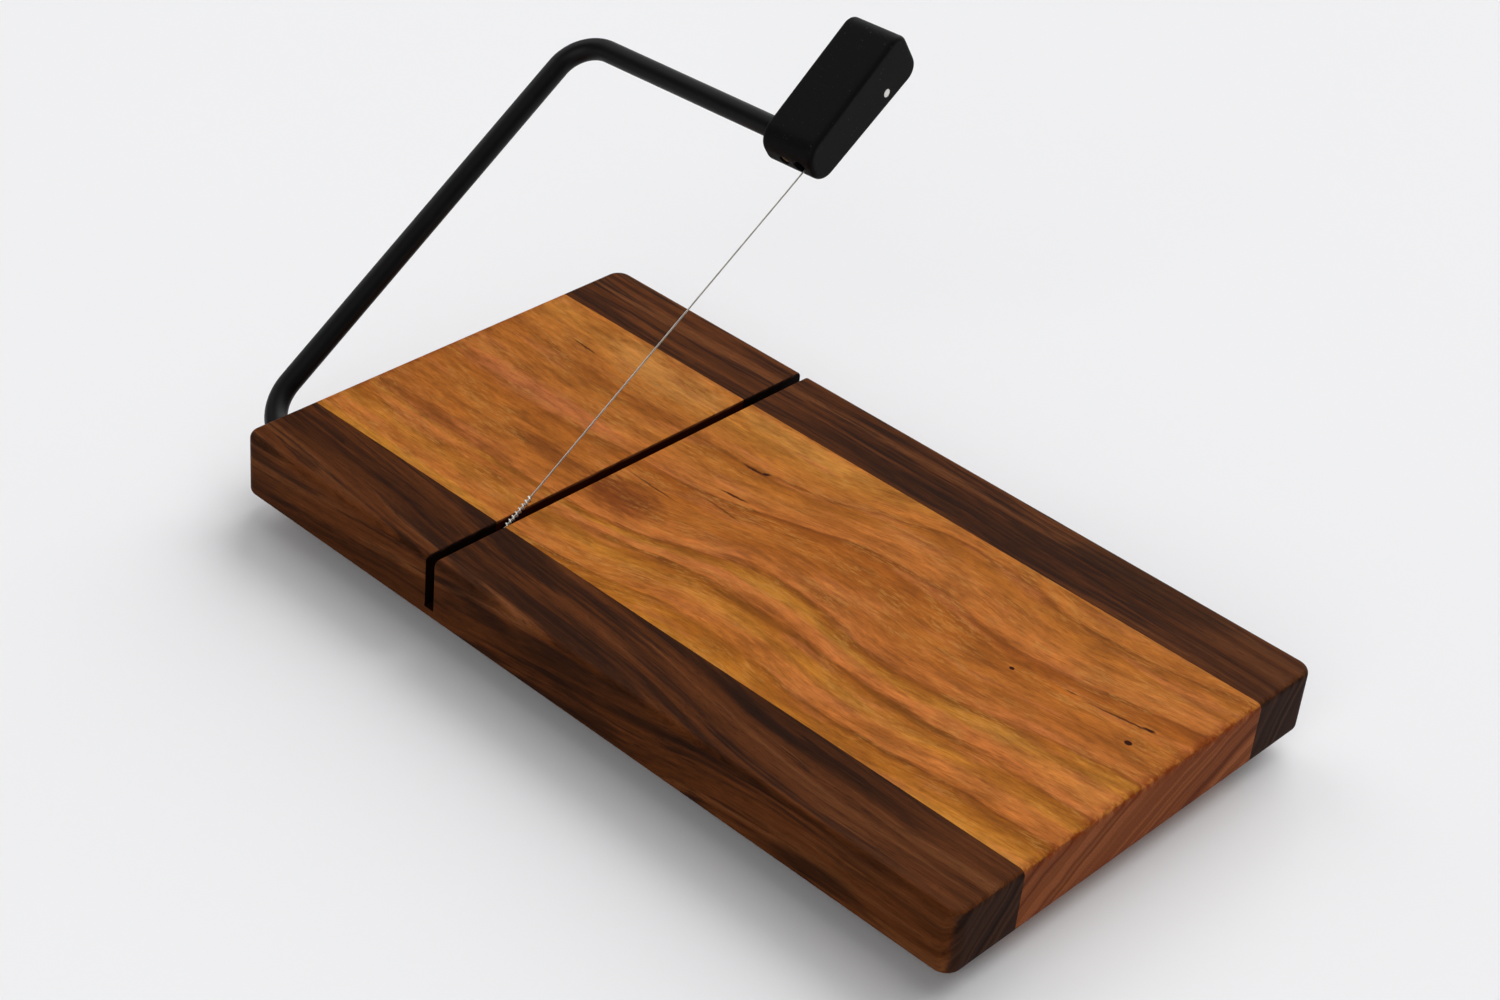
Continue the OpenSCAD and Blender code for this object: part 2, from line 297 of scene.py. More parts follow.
def tube(path, radius, sides):
    """A tube along a path, with no twist."""
    along = np.gradient(path, axis=0)
    along /= np.linalg.norm(along, axis=1)[:, None]
    askew = [0.31, 0.52, 0.79]      # any direction that the path doesn't start in
    normal = np.cross(along[0], askew)
    rings = []
    for point, tangent in zip(path, along):
        normal = unit(normal - tangent * (normal @ tangent))
        rings.append(hoop(point, radius, normal, np.cross(tangent, normal), sides))
    return loft(rings)


# ---------------- the board's strips


def stations(hard, soft, least=0.08):
    """Sorted places along one axis: all the hard ones, and each soft one that isn't too near another."""
    kept = sorted(set(hard))
    for place in sorted(soft):
        if min(abs(place - k) for k in kept) > least and kept[0] < place < max(hard):
            kept.append(place)
    return np.array(sorted(kept))


def ease_places(radius, steps=5):
    """Depths that become evenly spaced points of a rounded edge."""
    return [radius * (1 - math.tan(math.radians(45) * i / steps)) for i in range(steps + 1)]


def shell(axes, solid):
    """Points and quads of the skin round the solid cells of a grid of stations."""
    padded = np.pad(solid, 1).astype(int)
    sizes = [len(a) for a in axes]
    unit = np.eye(3, dtype=int)
    quads = []
    for axis in range(3):
        inner = [slice(1, -1)] * 3
        inner[axis] = slice(None)
        change = np.diff(padded, axis=axis)[tuple(inner)]
        across, up = unit[(axis + 1) % 3], unit[(axis + 2) % 3]
        for facing in (1, -1):
            at = np.argwhere(change == -facing)
            ring = [at, at + across, at + across + up, at + up]
            quads.append(np.stack(ring[::facing], 1))
    quads = np.concatenate(quads)
    used, faces = np.unique(np.ravel_multi_index(quads.reshape(-1, 3).T, sizes), return_inverse=True)
    places = np.unravel_index(used, sizes)
    points = np.stack([axes[a][places[a]] for a in range(3)], 1).astype(float)
    return points, faces.reshape(-1, 4)


def rounded(a, b, radius):
    """Turns the square corner at depths a, b into a round one of this radius."""
    near = (a < radius) & (b < radius)
    square = np.maximum(radius - a, radius - b)
    circle = np.hypot(radius - a, radius - b)
    pull = np.where(near, square / np.maximum(circle, 1e-9), 1)
    return radius - (radius - a) * pull, radius - (radius - b) * pull


def drill(a, b, centre, radius, grid):
    """Bends a square patch of the grid round a centre so that its square hole becomes round."""
    half, reach, _ = grid
    da, db = a - centre[0], b - centre[1]
    ring = np.maximum(abs(da), abs(db))
    length = np.maximum(np.hypot(da, db), 1e-9)
    share = np.clip((ring - half) / (reach - half), 0, 1)
    inside = np.where(ring < half, ring / half, 1)
    scale = (1 - share) * radius * inside / length + share * reach / np.maximum(ring, 1e-9)
    scale = np.where(ring < reach, scale, 1)
    return centre[0] + da * scale, centre[1] + db * scale


def hole_places(centre, grid):
    """Stations that a drilled hole needs: its patch's sides, and lines through its square."""
    half, reach, cells = grid
    return [centre - reach, centre + reach, *np.linspace(centre - half, centre + half, cells + 1)]


def strip_stations(y0, y1, side, holes):
    """The grid's stations along X, Y and Z: walls, holes, roundings and a place just past each."""
    rim = ease_places(EDGE_R)
    ease = rim + ease_places(CORNER_R, 7) + [EDGE_R + 0.3, CORNER_R + 0.4]
    kerf_ease = ease_places(KERF_EASE, 3) + [KERF_EASE + 0.15]
    x_hard = [0, BOARD_L, *KERF]
    x_soft = ease + [BOARD_L - e for e in ease] + list(np.arange(CELL, BOARD_L, CELL))
    x_soft += [KERF[0] - e for e in kerf_ease] + [KERF[1] + e for e in kerf_ease]
    y_hard = [y0, y1]
    y_soft = list(np.arange(y0 + CELL, y1, CELL))
    z_hard = [UNDERSIDE, TOP, KERF_FLOOR]
    z_soft = [UNDERSIDE + e for e in rim] + [TOP - e for e in rim + kerf_ease]
    z_soft += list(np.arange(UNDERSIDE + CELL_H, TOP - 1, CELL_H))
    if side == "front":
        y_soft += ease + kerf_ease
    if side == "back":
        y_soft += [BOARD_W - e for e in ease + kerf_ease]
    hard = [x_hard, y_hard, z_hard]
    for across, along, centre, profile, grid in holes:
        for axis, place in zip(across, centre):
            hard[axis] += hole_places(place, grid)
        hard[along] += profile[0]
    return [stations(*lists) for lists in zip(hard, (x_soft, y_soft, z_soft))]


def strip_cells(axes, holes):
    """Which cells of the grid are wood."""
    at = np.meshgrid(*[(a[1:] + a[:-1]) / 2 for a in axes], indexing="ij")
    cut = (at[0] > KERF[0]) & (at[0] < KERF[1]) & (at[2] > KERF_FLOOR)
    for (a, b), along, centre, profile, grid in holes:
        off = np.maximum(abs(at[a] - centre[0]), abs(at[b] - centre[1]))
        cut |= (off < grid[0]) & (at[along] < profile[0][-1])
    return ~cut


def round_holes(points, holes):
    """Makes the grid's square holes round, and gives the points' X, Y and Z."""
    at = list(points.T)
    for (a, b), along, centre, profile, grid in holes:
        radius = np.interp(at[along], *profile)
        here = at[along] <= profile[0][-1]
        round_a, round_b = drill(at[a], at[b], centre, radius, grid)
        at[a] = np.where(here, round_a, at[a])
        at[b] = np.where(here, round_b, at[b])
    return at


def dip_at_kerf(x, z, from_top, from_side):
    """Lowers the board's faces a little along the kerf, as sanding leaves them."""
    from_kerf = np.where(x < GROOVE_X, KERF[0] - x, x - KERF[1])
    depth = np.minimum(from_top, from_side)
    at_kerf = (z > KERF_FLOOR + TOUCH) & (from_kerf > -TOUCH)
    dipped = rounded(np.where(at_kerf, from_kerf, FAR), depth, KERF_EASE)[1]
    moved = at_kerf & (from_kerf < KERF_EASE) & (depth < KERF_EASE)
    from_top = np.where(moved, np.maximum(from_top, dipped), from_top)
    from_side = np.where(moved, np.maximum(from_side, dipped), from_side)
    return from_top, from_side


def round_edges(from_end, from_side, from_top, from_under):
    """Rounds the outer edges and upright corners, from each point's depths under the board's faces."""
    plan = np.minimum(from_end, from_side)
    face = np.minimum(from_top, from_under)
    new_plan, new_face = rounded(plan, face, EDGE_R)
    z = np.where(from_top < from_under, TOP - new_face, UNDERSIDE + new_face)
    corner = (from_end < CORNER_R) & (from_side < CORNER_R)
    diagonal = np.maximum(np.hypot(CORNER_R - from_end, CORNER_R - from_side), 1e-9)
    reach = (CORNER_R - new_plan) / diagonal
    eased = np.where(plan < EDGE_R, new_plan, plan)
    end_in = np.where(from_end <= from_side, eased, from_end)
    end_in = np.where(corner, CORNER_R - (CORNER_R - from_end) * reach, end_in)
    side_in = np.where(from_end > from_side, eased, from_side)
    side_in = np.where(corner, CORNER_R - (CORNER_R - from_side) * reach, side_in)
    edge = np.clip(1 - (plan + face) / (2 * EDGE_R), 0, 1)
    return end_in, side_in, z, edge


def strip_mesh(y0, y1, side, holes):
    """One glued strip, and how near an edge each point is. side says which long edge is rounded."""
    axes = strip_stations(y0, y1, side, holes)
    points, faces = shell(axes, strip_cells(axes, holes))
    x, y, z = round_holes(points, holes)
    from_side = {"front": y, "back": BOARD_W - y, "none": np.full(len(x), FAR)}[side]
    from_top, from_side = dip_at_kerf(x, z, TOP - z, from_side)
    from_end = np.minimum(x, BOARD_L - x)
    end_in, side_in, z, edge = round_edges(from_end, from_side, from_top, z - UNDERSIDE)
    x = np.where(x < BOARD_L / 2, end_in, BOARD_L - end_in)
    y = {"front": side_in, "back": BOARD_W - side_in, "none": y}[side]
    return np.stack([x, y, z], 1), faces, edge


def make_strip(node, y0, y1, side, material, slot, holes=()):
    points, faces, edge = strip_mesh(y0, y1, side, holes)
    shown = make_piece("wood_" + node, points, faces.tolist(), "board", slot, node, material)
    wear = shown.data.attributes.new("edge", "FLOAT", "POINT")
    wear.data.foreach_set("value", edge.astype(np.float32))


# ---------------- the arm

LEG_DIR = np.array([-math.sin(LEG_LEAN), math.cos(LEG_LEAN)])
LEG_SIDE = np.array([math.cos(LEG_LEAN), math.sin(LEG_LEAN)])
BAR_DIR = np.array([math.cos(BAR_LEAN), math.sin(BAR_LEAN)])
CORNER = LEG_L * LEG_DIR - [LEG_GAP, 0]
LOW_TANGENT = LOW_BEND_R * math.tan((math.pi / 2 - LEG_LEAN) / 2)
TOP_TANGENT = TOP_BEND_R * math.tan((math.pi / 2 - BAR_LEAN + LEG_LEAN) / 2)
LOW_CENTRE = np.array([LOW_TANGENT - LEG_GAP, LOW_BEND_R])
TOP_CENTRE = CORNER - TOP_TANGENT * LEG_DIR + TOP_BEND_R * LEG_SIDE
HANDLE_AT = CORNER + BAR_L * BAR_DIR

# A turned shape's X, Y and Z in handle coordinates, named by where its Z points
Z_OUTWARD = [(0, 1, 0), (0, 0, 1), (1, 0, 0)]
Z_TO_ROD = [(0, 1, 0), (0, 0, -1), (-1, 0, 0)]
Z_TO_PIVOT = [(1, 0, 0), (0, 0, 1), (0, -1, 0)]


def rod_path():
    """Middle line of the rod with its radius: the shaft's end first, the bar's end in the handle last."""
    beside = 0.3        # a ring this far from an edge keeps its shading crisp
    half = GROOVE_W / 2
    wall = 0.04
    end_r = ROD_R - ROD_CHAMFER
    chamfer_x = ROD_END - ROD_CHAMFER
    shaft = [(ROD_END, TIP_R), (ROD_END, end_r - 0.25), (ROD_END - 0.02, end_r),
             (chamfer_x, ROD_R), (chamfer_x - beside, ROD_R)]
    groove = [(half + beside, ROD_R), (half, ROD_R - 0.08), (half - wall, GROOVE_R)]
    shaft += [(GROOVE_X + x, r) for x, r in groove]
    shaft += [(GROOVE_X - x, r) for x, r in groove[::-1]]
    shaft += [(x, ROD_R) for x in np.arange(GROOVE_X - half - ROD_STEP, LOW_CENTRE[0] + 1, -ROD_STEP)]
    lean, bar = math.degrees(LEG_LEAN), math.degrees(BAR_LEAN)
    low = arc(LOW_CENTRE, LOW_BEND_R, 270, 180 + lean, 30)
    top = arc(TOP_CENTRE, TOP_BEND_R, 180 + lean, 90 + bar, 30)
    leg = between(low[-1], top[0], 39)
    end = HANDLE_AT + ROD_IN_HANDLE * BAR_DIR
    bar_line = between(top[-1], end, 23)
    bar_line[-1] = end - ROD_END_EASE * BAR_DIR
    flat = np.array([(x, 0) for x, _ in shaft] + [*low, *leg, *top, *bar_line, end])
    radii = [r for _, r in shaft] + [BOW_R] * (len(flat) - len(shaft))
    radii[-1] = BOW_R - ROD_END_EASE
    return np.column_stack([flat, np.zeros(len(flat))]), radii


def rod_mesh(sides=56):
    """The bent rod. It lies in one plane, so each ring's frame comes from the path's direction in it."""
    path, radii = rod_path()
    steps = np.diff(path[:, :2], axis=0)
    lengths = np.linalg.norm(steps, axis=1)
    lengths[lengths < 1e-6] = 1
    steps = steps / lengths[:, None]
    steps[0] = steps[1] = (-1, 0)       # the end face's rings lie in each other
    along = np.vstack([steps[:1], steps[:-1] + steps[1:], steps[-1:]])
    along /= np.linalg.norm(along, axis=1)[:, None]
    up = [0, 0, 1]
    return loft([hoop(p, r, [-b, a, 0], up, sides) for p, (a, b), r in zip(path, along, radii)])


def handle_outline(inset):
    """The handle's outline in (away from the pivot, square to the arm), drawn in by inset."""
    taper = (HANDLE_T[1] - HANDLE_T[0]) / 2 / (HANDLE_NEAR + HANDLE_FAR)
    side_scale = math.hypot(1, taper)
    near_h = HANDLE_R[0] - HANDLE_NEAR
    far_h = HANDLE_FAR - HANDLE_R[1]
    near_u = HANDLE_T[0] / 2 + taper * (near_h + HANDLE_NEAR) - HANDLE_R[0] * side_scale
    far_u = HANDLE_T[0] / 2 + taper * (far_h + HANDLE_NEAR) - HANDLE_R[1] * side_scale
    tilt = math.degrees(math.atan(taper))
    near = arc((near_h, near_u), HANDLE_R[0] - inset, 180, 90 + tilt, 14)
    far = arc((far_h, far_u), HANDLE_R[1] - inset, 90 + tilt, 0, 12)
    side = between(near[-1], far[0], 21)
    half = np.array([*near, *side, *far])
    other = half[::-1] * [1, -1]
    return np.array([*half, *between(half[-1], other[0], 10), *other, *between(other[-1], half[0], 3)])


def handle_mesh():
    """The tapered block: its outline from one side to the other, drawn in at both rounded rims."""
    rim = [(HANDLE_EDGE_R * (1 - math.sin(a)), HANDLE_EDGE_R * (1 - math.cos(a)))
           for a in np.radians(np.linspace(0, 90, 8))]
    start = [(0, HANDLE_EDGE_R + 0.4)] + [(across, inset) for inset, across in rim]
    middle = [(l, 0) for l in np.linspace(HANDLE_EDGE_R, HANDLE_W - HANDLE_EDGE_R, 13)[1:-1]]
    end = [(HANDLE_W - l, inset) for l, inset in start[::-1]]
    rings = []
    for l, inset in start + middle + end:
        outline = handle_outline(inset)
        rings.append(np.column_stack([np.full(len(outline), l), outline]))
    return loft(rings)


def cutter(length, radius, mouth):
    """A drill along -Z from above Z 0, with a countersunk mouth."""
    return lathe([(radius, -length), (radius, -mouth), (radius + mouth + 1, 1)], 48)


def drilled(shown, holes):
    """Cuts holes from a piece with its own drills, then removes them and any faces without an area."""
    for points, faces in holes:
        cut = shown.modifiers.new("cut", "BOOLEAN")
        cut.operation = "DIFFERENCE"
        cut.solver = "EXACT"
        cut.object = new_mesh("drill", points, faces)
    bpy.context.view_layer.update()
    result = bpy.data.meshes.new_from_object(shown.evaluated_get(bpy.context.evaluated_depsgraph_get()))
    clean = bmesh.new()
    clean.from_mesh(result)
    bmesh.ops.triangulate(clean, faces=clean.faces)
    bmesh.ops.dissolve_degenerate(clean, dist=0.002 * MM, edges=clean.edges)
    clean.to_mesh(result)
    clean.free()
    tools = [m.object for m in shown.modifiers]
    shown.modifiers.clear()
    shown.data = result
    for tool in tools:
        bpy.data.objects.remove(tool)


def make_handle(material):
    """The handle with its socket, the pin's hole, the wire's bore and the set screw's hole cut."""
    points, faces = handle_mesh()
    shown = new_mesh("grip_handle", arm_to_row(in_handle(points)), faces)
    out_of_bore = (0, -math.cos(BORE_TILT), -math.sin(BORE_TILT))
    bore_side = (0, -math.sin(BORE_TILT), math.cos(BORE_TILT))
    bore_l = (PIN_H + HANDLE_NEAR) / math.cos(BORE_TILT) + WIRE_BORE_PAST
    drills = [
        # (depth, radius, mouth, its axes, its place)
        (SOCKET_L, ROD_R + FIT_GAP, 0.3, Z_TO_ROD, (0, 0, 0)),
        (PIN_L + FIT_GAP, PIN_R + FIT_GAP, 0.12, Z_OUTWARD, (HANDLE_W, PIN_H, PIN_U)),
        (bore_l, WIRE_BORE_R, 0.3, [(1, 0, 0), bore_side, out_of_bore], (WIRE_BORE_L, -HANDLE_NEAR, 0)),
        (HANDLE_NEAR, SCREW_R + FIT_GAP, 0.15, Z_TO_PIVOT, (SCREW_L, -HANDLE_NEAR, 0)),
    ]
    holes = []
    for depth, radius, mouth, axes, place in drills:
        points, faces = cutter(depth, radius, mouth)
        holes.append((arm_to_row(on_handle(points, axes, place)), faces))
    drilled(shown, holes)
    finish_piece(shown, "arm", "handle", material, 32)


def pin_mesh():
    """The cross pin: a plain rod whose two ends are low domes."""
    dome = [(max(PIN_R * share, TIP_R), PIN_DOME * share ** 2) for share in np.linspace(0, 1, 7)]
    points, faces = lathe(dome + [(r, PIN_L - h) for r, h in dome[::-1]], 40)
    return on_handle(points, Z_OUTWARD, (HANDLE_W - PIN_L, PIN_H, PIN_U)), faces


def set_screw_mesh():
    """A headless screw with a hex socket, a cup point and ridges for its thread."""
    socket = hexagon(0.87)
    profile = [(0.5, 0), (0.9, 0.12), (1.15, 0)]
    for step in range(5):
        z = 0.35 + 0.6 * step
        profile += [(SCREW_R - 0.16, z), (SCREW_R, z + 0.2), (SCREW_R, z + 0.32)]
    profile += [(SCREW_R - 0.15, SCREW_LEN), (1.05, SCREW_LEN), (socket, SCREW_LEN - 0.08)]
    profile += [(socket, SCREW_LEN - 1.6), (0.05, SCREW_LEN - 1.75)]
    points, faces = lathe(profile, 48)
    return on_handle(points, Z_TO_PIVOT, (SCREW_L, -ROD_R - FIT_GAP, 0)), faces


# ---------------- the cutting wire


def wire_end(eye, apex, side, along, ring_r, turns):
    """From the apex round the eye and back in a twist along the wire."""
    reach = np.linalg.norm(apex - eye)
    to_apex = (apex - eye) / reach
    opening = math.acos(ring_r / reach)
    third = np.cross(along, side)
    ring = [eye + ring_r * (math.cos(a) * to_apex + math.sin(a) * side)
            for a in np.linspace(opening, 2 * math.pi - opening, 41)]
    twist = [apex + along * TWIST_PITCH * a / (2 * math.pi)
             + WIND_R * (-math.cos(a) * side + math.sin(a) * third)
             for a in np.arange(turns * TURN_STEPS + 1) * 2 * math.pi / TURN_STEPS]
    return [apex] + ring + twist


def wire_mesh():
    """The wire from its twist and loop round the pin, through the handle's mouth, down to the shaft's."""
    cos, sin = math.cos(BORE_TILT), math.sin(BORE_TILT)
    pin_eye, pin_apex, mouth = in_handle([
        (WIRE_BORE_L, PIN_H, PIN_U),
        (WIRE_BORE_L, PIN_H - PIN_APEX_RUN * cos, PIN_U - PIN_APEX_RUN * sin),
        (WIRE_MOUTH[0], -HANDLE_NEAR, WIRE_MOUTH[1]),
    ])
    low_eye = np.array([GROOVE_X, 0, 0])
    low_apex = np.array([GROOVE_X, TWIST_START, 0])
    up = unit(mouth - low_apex)
    down = unit(mouth - pin_apex)
    low_side = unit(np.array([0, -up[2], up[1]]))
    pin_side = unit(np.cross([*BAR_DIR, 0], down))
    upper = wire_end(pin_eye, pin_apex, pin_side, down, PIN_R + WIRE_R + FIT_GAP, PIN_TWIST_TURNS)
    lower = wire_end(low_eye, low_apex, low_side, up, GROOVE_R + WIRE_R + FIT_GAP, TWIST_TURNS)
    path = np.array([*upper[::-1], mouth, *between(mouth, low_apex, 59), *lower])
    return tube(path, WIRE_R - WIRE_EASE, 12)


# ---------------- feet, each about its own axis


def foot_mesh():
    low_r = FOOT_R - FOOT_TAPER
    pad = [(low_r - FOOT_ROUND + FOOT_ROUND * math.sin(a), FOOT_ROUND - FOOT_ROUND * math.cos(a))
           for a in np.radians(np.linspace(0, 90, 7))]
    profile = [(RECESS_R + 0.3, 0), (RECESS_R + 0.6, 0)] + pad
    profile += [(FOOT_R - 0.15, UNDERSIDE - 0.35), (FOOT_R, UNDERSIDE - 0.15), (FOOT_R - 0.1, UNDERSIDE)]
    profile += [(FOOT_HOLE_R, UNDERSIDE), (FOOT_HOLE_R, RECESS_H), (RECESS_R - 0.1, RECESS_H)]
    profile += [(RECESS_R, RECESS_H - 0.1), (RECESS_R, 0.3), (RECESS_R + 0.1, 0.08)]
    return lathe(profile, 72, closed=True)


def washer_mesh():
    top, low, ease = RECESS_H, RECESS_H - WASHER_T, 0.12
    profile = [(WASHER_R - ease, low), (WASHER_R, low + ease), (WASHER_R, top - ease), (WASHER_R - ease, top),
               (FOOT_HOLE_R + ease, top), (FOOT_HOLE_R, top - ease),
               (FOOT_HOLE_R, low + ease), (FOOT_HOLE_R + ease, low)]
    return lathe(profile, 56, closed=True)


def foot_screw_mesh():
    """A pan head with a cross recess, a ridged shank and a point, drawn from the recess outwards."""
    head_z = RECESS_H - WASHER_T
    bottom = head_z - HEAD_H
    tip = UNDERSIDE + SCREW_REACH
    profile = [
        (0.05, bottom + 1.45), (cross(0.3, 1.1), bottom + 1.3), (cross(0.4, 1.6), bottom + 0.02),
        (2.0, bottom), (2.6, bottom), (2.95, bottom + 0.25), (3.2, bottom + 0.62), (HEAD_R, bottom + 0.95),
        (HEAD_R, head_z - 0.1), (HEAD_R - 0.1, head_z), (SHANK_R, head_z),
    ]
    for z in np.arange(UNDERSIDE, tip - 2.6, 0.8):
        profile += [(SHANK_R - 0.35, z), (SHANK_R - 0.3, z + 0.4), (SHANK_R, z + 0.55)]
    profile += [(SHANK_R - 0.3, tip - 2.2), (0.3, tip)]
    return lathe(profile, 64)


# ---------------- materials


def linear(red, green, blue):
    """A display colour from 0 to 255 as the scene's linear colour."""
    parts = [v / 255 for v in (red, green, blue)]
    return (*[v / 12.92 if v <= 0.04045 else ((v + 0.055) / 1.055) ** 2.4 for v in parts], 1)


class Value:
    """What one node gives at each point of a surface, with arithmetic that adds further nodes."""

    def __init__(self, shader, socket):
        self.shader = shader
        self.socket = socket

    def __add__(self, other):
        return self.shader.math("ADD", self, other)

    def __sub__(self, other):
        return self.shader.math("SUBTRACT", self, other)

    def __rsub__(self, other):
        return self.shader.math("SUBTRACT", other, self)

    def __mul__(self, other):
        return self.shader.math("MULTIPLY", self, other)

    def __truediv__(self, other):
        return self.shader.math("DIVIDE", self, other)

    def __abs__(self):
        return self.shader.math("ABSOLUTE", self)


class Shader:
    """The nodes of a material or of the world, with a short call for each kind of node."""

    def __init__(self, owner, surface="Principled BSDF"):
        owner.use_nodes = True
        self.owner = owner
        self.tree = owner.node_tree
        self.surface = self.tree.nodes[surface]

    def set(self, **sockets):
        """Sets or links the surface's sockets, with spaces written as underscores."""
        for name, value in sockets.items():
            self.put(self.surface.inputs[name.replace("_", " ")], value)

    def put(self, socket, value):
        """Sets or links one socket. A colour of three parts is a display colour."""
        if isinstance(value, Value):
            self.tree.links.new(value.socket, socket)
        elif socket.type == "RGBA" and len(value) == 3:
            socket.default_value = linear(*value)
        else:
            socket.default_value = value

    def node(self, kind, *values, **settings):
        """A new node with its settings, and with its first sockets set or linked."""
        made = self.tree.nodes.new("ShaderNode" + kind)
        for name, setting in settings.items():
            setattr(made, name, setting)
        for socket, value in zip(made.inputs, values):
            self.put(socket, value)
        return made

    def value(self, kind, *values, **settings):
        return Value(self, self.node(kind, *values, **settings).outputs[0])

    def math(self, operation, *values, clamp=False):
        return self.value("Math", *values, operation=operation, use_clamp=clamp)

    def scaled(self, vector, gain, offset):
        return self.value("VectorMath", vector, gain, offset, operation="MULTIPLY_ADD")

    def join(self, x, y, z):
        return self.value("CombineXYZ", x, y, z)

    def split(self, vector):
        return [Value(self, socket) for socket in self.node("SeparateXYZ", vector).outputs]

    def coordinates(self, kind):
        return Value(self, self.node("TexCoord").outputs[kind])

    def noise(self, vector, size, detail=3, rough=0.55, seed=0):
        """Noise from 0 to 1 whose features measure about size along each axis."""
        place = self.scaled(vector, [1 / s for s in size], (seed * 7.3, seed * 3.1, seed * 5.7))
        made = self.node("TexNoise", place)
        made.inputs["Scale"].default_value = 1
        made.inputs["Detail"].default_value = detail
        made.inputs["Roughness"].default_value = rough
        return Value(self, made.outputs[0])

    def step(self, value, start, end, low=0.0, high=1.0):
        """A smooth step from low at start to high at end."""
        return self.value("MapRange", value, start, end, low, high, interpolation_type="SMOOTHSTEP")

    def ramp(self, value, stops, smooth=True):
        """A display colour or a gain for each place from 0 to 1, from (place, colour) stops."""
        made = self.node("ValToRGB", value)
        made.color_ramp.interpolation = "EASE" if smooth else "LINEAR"
        elements = made.color_ramp.elements
        while len(elements) < len(stops):
            elements.new(0.5)
        for element, (place, colour) in zip(elements, stops):
            element.position = place
            element.color = linear(*colour) if isinstance(colour, tuple) else (colour, colour, colour, 1)
        return Value(self, made.outputs[0])

    def curve(self, value, places, low, high, span):
        """A smooth curve through (place, height) points over 0 to span, with heights from low to high."""
        made = self.node("FloatCurve")
        points = made.mapping.curves[0].points
        while len(points) < len(places):
            points.new(0.5, 0.5)
        for point, (place, height) in zip(points, places):
            point.location = (place / span, (height - low) / (high - low))
        made.mapping.update()
        self.put(made.inputs["Value"], value / span)
        return Value(self, made.outputs[0]) * (high - low) + low

    def mix(self, share, first, second, mode="MIX"):
        made = self.node("Mix", share, data_type="RGBA", blend_type=mode)
        self.put(made.inputs[6], first)
        self.put(made.inputs[7], second)
        return Value(self, made.outputs[2])

    def tint(self, colour, value, start, end, share, shade):
        """Turns a colour toward a shade, by up to share as a value goes from start to end."""
        return self.mix(self.step(value, start, end, 0, share), colour, shade)

    def vary(self, colour, value, *stops):
        """Brightens and darkens a colour by a value's gain, from (value, gain) stops."""
        return self.mix(1.0, colour, self.ramp(value, stops), "MULTIPLY")

    def finish(self, colour, roughness, relief, depth, strength, **sockets):
        """The finished material, with a bump whose relief of 1 stands for depth millimetres."""
        made = self.node("Bump")
        made.inputs["Strength"].default_value = strength
        made.inputs["Distance"].default_value = depth * MM
        self.put(made.inputs["Height"], relief)
        normal = Value(self, made.outputs[0])
        self.set(Base_Color=colour, Roughness=roughness, Normal=normal, **sockets)
        return self.owner

    def bench(self):
        """Bench millimetres of the surface point."""
        corner = (-BOARD_LEFT / MM, -BOARD_FRONT / MM, 0)
        return self.scaled(self.coordinates("Object"), (1 / MM,) * 3, corner)

    def end_grain(self, place):
        """1 where the fibres are cut across, 0 where they run along the face."""
        facing = abs(self.split(self.coordinates("Normal"))[0])
        ragged = self.noise(place, (1.5, 1.2, 1.2), seed=4)
        return self.step(facing + ragged * 0.3, 0.72, 1.0)

    def near_edge(self):
        """1 on the board's sharpest edges, falling to 0 away from them."""
        return Value(self, self.node("Attribute", attribute_name="edge").outputs["Fac"])


def new_material(name):
    """A new material's shader, and the surface point in bench millimetres."""
    s = Shader(bpy.data.materials.new(name))
    return s, s.bench()


# Where the cherry's grain wanders to, as (distance from the left end, sideways shift)
CHERRY_WANDER = [(0, 1), (40, -1), (72, 0), (93, 3), (117, 13), (133, 18), (147, 18), (160, 16.5),
                 (178, 14), (197, 15.5), (217, 20), (250, 25)]
WANDER_LAG = 26         # the same wander comes this much later along the board's back part
FRONT_WANDER = 0.45     # share of it that the figure takes by the front strip
INNER_FROM = 34         # how far in from the front edge that share starts to grow
INNER_WIDTH = 16        # and over what width it grows to all of it
FIBRE_WANDER = 0.6      # share of it that the fine fibre takes everywhere

# The cherry's figure across the panel at its left end, as (distance from the front edge, colour).
# Each growth ring starts salmon, turns golden and ends in a thin dark line.
CHERRY_FIGURE = [
    (8, (168, 105, 35)), (14, (178, 115, 42)), (19, (158, 95, 28)), (23.6, (140, 79, 21)),
    (24.6, (112, 59, 16)), (25.6, (172, 99, 42)), (30, (176, 103, 46)), (33.5, (172, 109, 37)),
    (37.6, (150, 87, 25)), (39.2, (116, 63, 16)), (40.0, (176, 101, 46)), (41.3, (178, 103, 48)),
    (42.4, (176, 115, 40)), (43.6, (146, 85, 23)), (44.4, (112, 59, 16)), (45.1, (178, 103, 48)),
    (47.5, (172, 99, 42)), (53, (154, 87, 30)), (59, (164, 95, 35)), (66, (156, 87, 28)),
    (71.4, (138, 73, 21)), (72.6, (116, 61, 18)), (73.6, (172, 99, 42)), (80, (174, 103, 44)),
    (87, (162, 95, 33)), (92, (146, 83, 26)), (93.6, (124, 67, 19)), (94.6, (172, 101, 40)),
    (101, (170, 103, 39)), (106, (176, 113, 42)), (117, (170, 101, 39)),
]
FIGURE_PITH = (122, -156)   # middle of the growth rings that the figure follows, as (y, z)
END_PITH = (245, -352)      # middle of the flatter rings that the ends show

